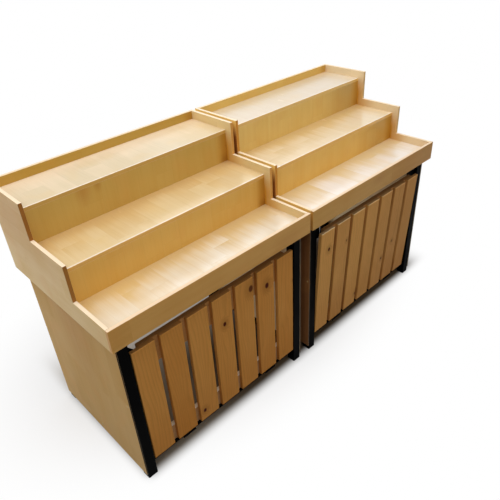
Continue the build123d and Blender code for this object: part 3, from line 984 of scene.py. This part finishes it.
# Welds
def fillet(along, length):
    """The round profile of a bead in a corner, which ripples and tapers off at its ends."""
    size = WELD_SIZE * (1.0 + WELD_WAVE * math.cos(math.tau * along / WELD_RIPPLE))
    size *= min(1.0, WELD_END + min(along, length - along) / WELD_TAPER)
    return [(0.0, 0.0)] + [(size * math.cos(turn), size * math.sin(turn)) for turn in QUARTER]


def groove(along, length):
    """The profile of a weld that fills a leg's round corner beside a flush rail, dished in ripples."""
    radius = LEG_ROLL[0]
    dish = WELD_DISH * (1.0 + math.cos(math.tau * along / WELD_RIPPLE)) / 2
    bed = [(radius * (math.sin(turn) - 1.0), radius * (math.cos(turn) - 1.0)) for turn in QUARTER[1:-1]]
    return [(0.0, -dish)] + bed


def add_weld(work, start, end, away, outward, profile):
    """Adds a weld along a line, with its profile in the plane of two directions."""
    length = (end - start).length
    stations = round(length / WELD_RIPPLE) * WELD_STATIONS
    rings = []
    for station in range(stations + 1):
        along = length * station / stations
        root = start.lerp(end, along / length)
        rings.append([root + u * away + v * outward for u, v in profile(along, length)])
    skin(work, rings)


def touches(low, high, point):
    """Whether a point lies in a box or on it."""
    return all(low[i] - SAME_LEVEL < point[i] < high[i] + SAME_LEVEL for i in range(3))


def weld_ends(work, low, high, legs):
    """Adds one rail's welds: beads along its sides, or filled grooves where a side is flush with a leg."""
    axis = longest(low, high)
    for end, away in ((low, unit(axis)), (high, unit(axis, -1.0))):
        middle = (low + high) / 2
        middle[axis] = end[axis]
        foot, top = next(leg for leg in legs if touches(*leg, middle))
        for side, across in zip(beside(axis), reversed(beside(axis))):
            for face, outward in ((low, unit(side, -1.0)), (high, unit(side))):
                flush = not foot[side] + SAME_LEVEL < face[side] < top[side] - SAME_LEVEL
                if flush and side == Z:
                    continue
                inset = 0.0 if flush else RAIL_ROLL[0]
                start, stop = middle.copy(), middle.copy()
                start[side] = stop[side] = face[side]
                start[across] = low[across] + inset
                stop[across] = high[across] - inset
                add_weld(work, start, stop, away, outward, groove if flush else fillet)


def weld_piece(bay, paint):
    """One piece with the welds of a bay's frame."""
    legs = [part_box(f"{bay}_{leg}") for leg in LEGS]
    work = bmesh.new()
    for rails in RAILS:
        for corners in solids(f"{bay}_{rails}"):
            weld_ends(work, *span(corners), legs)
    smooth(add_piece(bay + "_welds", work, paint, "stand"), WELD_SHARP)


def build_frame(bay, paint, plastic):
    """The frame of one bay: drilled tubes, the angle under the flap, feet and welds."""
    holes = screw_holes(bay)
    for names, wall, roll in ((LEGS, LEG_WALL, LEG_ROLL), (RAILS, RAIL_WALL, RAIL_ROLL)):
        for name in names:
            tube = section_piece(f"{bay}_{name}", "_rolled", add_tube, paint, "black_steel", wall, roll)
            drill(tube, holes)
    bpy.data.objects.remove(holes)
    section_piece(bay + "_front_bottom_rail", "_rolled", add_angle, paint, "black_steel")
    section_piece(bay + "_foot_caps", "_moulded", add_foot, plastic, "foot_plastic")
    weld_piece(bay, paint)


# Screws with cross recesses, in the places of the plain ones
def level(corners, towards):
    """The middle of the corners that lie furthest along a direction, and their reach from it."""
    furthest = max(corner.dot(towards) for corner in corners)
    end = [corner for corner in corners if furthest - corner.dot(towards) < SAME_LEVEL]
    middle = sum(end, Vector()) / len(end)
    return middle, max((corner - middle).length for corner in end)


def circle(radius, height):
    """A ring round a screw's axis."""
    turns = [math.tau * step / CIRCLE_STEPS for step in range(CIRCLE_STEPS)]
    return [Vector((radius * math.cos(turn), radius * math.sin(turn), height)) for turn in turns]


def cross(arm, half, height):
    """The outline of a cross recess, with as many points as a ring."""
    waist = (arm + half) / 2
    quarter = [(arm, 0.0), (arm, half), (waist, half), (half, half), (half, waist), (half, arm)]
    ring = []
    for _ in range(4):
        ring += quarter
        quarter = [(-v, u) for u, v in quarter]
    return [Vector((u, v, height)) for u, v in ring]


def add_screw(work, corners, guess, spin):
    """Adds a pan-head screw on the axis of the plain one that has these corners."""
    top, head = level(corners, guess)
    tip, stem = level(corners, -guess)
    outward = (top - tip).normalized()
    length = (top - tip).length - HEAD_HEIGHT
    floor_height = HEAD_HEIGHT - RECESS_DEPTH
    arm, half = head * RECESS_ARM, head * RECESS_HALF_WIDTH
    rings = [circle(stem, POINT_LENGTH * stem - length), circle(stem, 0.0)]
    rings += [circle(head * across, HEAD_HEIGHT * height) for across, height in HEAD_RINGS]
    rings += [cross(arm, half, HEAD_HEIGHT), cross(arm * RECESS_TAPER, half * RECESS_TAPER, floor_height)]
    turn = outward.to_track_quat("Z", "Y").to_matrix() @ Matrix.Rotation(spin, 3, "Z")
    seat = top - outward * HEAD_HEIGHT
    rings = [[work.verts.new(seat + turn @ point) for point in ring] for ring in rings]
    point = work.verts.new(seat - outward * length)
    floor_point = work.verts.new(seat + outward * floor_height)
    for step in range(CIRCLE_STEPS):
        after = (step + 1) % CIRCLE_STEPS
        work.faces.new((point, rings[0][after], rings[0][step]))
        for lower, upper in zip(rings, rings[1:]):
            work.faces.new((lower[step], lower[after], upper[after], upper[step]))
        work.faces.new((rings[-1][step], rings[-1][after], floor_point))


def screw_piece(node, body, zinc, outward_at):
    """One piece with a finished screw for each plain one of a node."""
    work = bmesh.new()
    for index, corners in enumerate(solids(node)):
        middle = sum(corners, Vector()) / len(corners)
        add_screw(work, corners, outward_at(middle), SCREW_SPIN * index)
    smooth(add_piece(node + "_pan_heads", work, zinc, body, node), SCREW_SHARP)


def build_screws(bay, zinc):
    """The screws of one bay: those of the sheets look outwards, and those of the slats to the back."""
    low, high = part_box(bay + "_lower_shelf")
    middle = (low.x + high.x) / 2

    def aside(place):
        return unit(X, math.copysign(1.0, place.x - middle))

    screw_piece(bay + "_panel_screws", "stand", zinc, aside)
    screw_piece(bay + "_slat_screws", bay + "_flap", zinc, lambda place: unit(Y))


# Stage, light and camera
def floor():
    """A pale floor that looks white and keeps the stand's shadow, with painted shade under and behind the
    stand;
    it throws back little light under the stand and more behind it.
    """
    bpy.ops.mesh.primitive_plane_add(size=FLOOR_SIZE)
    plane = bpy.context.object
    plane.name = "floor"
    s = Surface("floor_paper")
    place = s.place()
    across, deep, _ = s.split(place)
    # Painted shade under and behind the stand, for the camera and reflections
    under = s.times(s.ease(deep, *SHADE_FRONT), s.ease(deep, *SHADE_REAR))
    under = s.times(under, s.times(s.ease(across, *SHADE_LEFT), s.ease(across, *SHADE_RIGHT)))
    dark = s.most(s.times(s.ease(deep, *DARK_FRONT), s.ease(across, *DARK_ALONG)),
                  s.times(s.ease(deep, *DARK_REAR), s.ease(across, *DARK_RIGHT)))
    shown = s.mix(under, FLOOR_PALE, s.mix(dark, FLOOR_SHADED, FLOOR_DARK))
    bounce = s.mix(s.ease(deep, *BOUNCE_FADE), BOUNCE_UNDER, BOUNCE_BEHIND)
    seen = s.seen()
    paper = s.node("BsdfDiffuse", {"Color": s.mix(seen, bounce, shown)}).outputs[0]
    white = s.node("Emission", {"Strength": 1.0}).outputs[0]
    offset = s.vector("MULTIPLY", s.vector("SUBTRACT", place, GLOW_MIDDLE), GLOW_SHAPE)
    glow = s.times(s.ease(s.vector("LENGTH", offset), *GLOW_FADE), s.minus(1.0, under))
    shader = s.node("MixShader", {0: s.times(glow, seen), 1: paper, 2: white})
    s.node("OutputMaterial", {"Surface": shader.outputs[0]})
    plane.data.materials.append(s.material)


def world():
    """White for what sees it straight or by reflection, a softer fill for the rest."""
    sky = bpy.data.worlds.new("studio")
    bpy.context.scene.world = sky
    sky.use_nodes = True
    s = Nodes(sky.node_tree)
    strength = s.ramp(s.seen(), 0.0, 1.0, AMBIENT, 1.0)
    back = s.node("Background", {"Color": (1.0, 1.0, 1.0, 1.0), "Strength": strength})
    s.node("OutputWorld", {"Surface": back.outputs[0]})


def direction(azimuth, elevation):
    """The way that a bearing in degrees from +Y towards +X, and a rise, point."""
    turn, rise = math.radians(azimuth), math.radians(elevation)
    return Vector((math.sin(turn) * math.cos(rise), math.cos(turn) * math.cos(rise), math.sin(rise)))


def lamp(name, azimuth, elevation, distance, width, height, watts):
    """A soft lamp that faces the stand."""
    data = bpy.data.lights.new(name, "AREA")
    data.shape = "RECTANGLE"
    data.size = width
    data.size_y = height
    data.energy = watts
    made = add_object(name, data)
    aim = direction(azimuth, elevation)
    made.location = LAMP_TARGET + aim * distance
    made.rotation_euler = aim.to_track_quat("Z", "Y").to_euler()
    return made


def lamps():
    """Soft lamps above, left and behind that leave no gleam, and a window that only gleams."""
    for name, setting in (("ceiling", CEILING), ("left_fill", LEFT_FILL), ("rear_fill", REAR_FILL)):
        lamp(name, *setting).visible_glossy = False
    window = lamp("window", *WINDOW)
    window.visible_diffuse = False
    window.data.color = WINDOW_TINT


def camera():
    """The photograph's camera."""
    data = bpy.data.cameras.new("camera")
    data.lens = CAMERA_LENS
    data.sensor_width = CAMERA_SENSOR
    eye = add_object("camera", data)
    turn, roll = math.radians(CAMERA_AZIMUTH), math.radians(CAMERA_ROLL)
    ahead = direction(CAMERA_AZIMUTH, CAMERA_ELEVATION)
    horizon = Vector((math.cos(turn), -math.sin(turn), 0.0))
    upright = horizon.cross(ahead)
    right = horizon * math.cos(roll) + upright * math.sin(roll)
    up = right.cross(ahead)
    basis = Matrix((right, up, -ahead)).transposed().to_4x4()
    eye.matrix_world = Matrix.Translation(CAMERA_PLACE) @ basis
    bpy.context.scene.camera = eye


# The stand
dress_shelves()
dress_uprights()
dress_ends()
dress_sheets()
dress_flaps()
dress(both("hinge_frame_leaves", "hinge_flap_leaves"), painted_steel("hinge_paint", *HINGE_PAINT))
black = painted_steel("black_paint", *FRAME_PAINT)
dress(both("flap_stops"), black)
yellow_zinc = bright_steel("zinc_plate")
dress(both("hinge_pins"), yellow_zinc)
moulding = foot_plastic("foot_moulding")
for bay in BAYS:
    build_frame(bay, black, moulding)
    build_screws(bay, yellow_zinc)

# The studio
floor()
world()
lamps()
camera()
bpy.context.scene.view_settings.view_transform = "Standard"
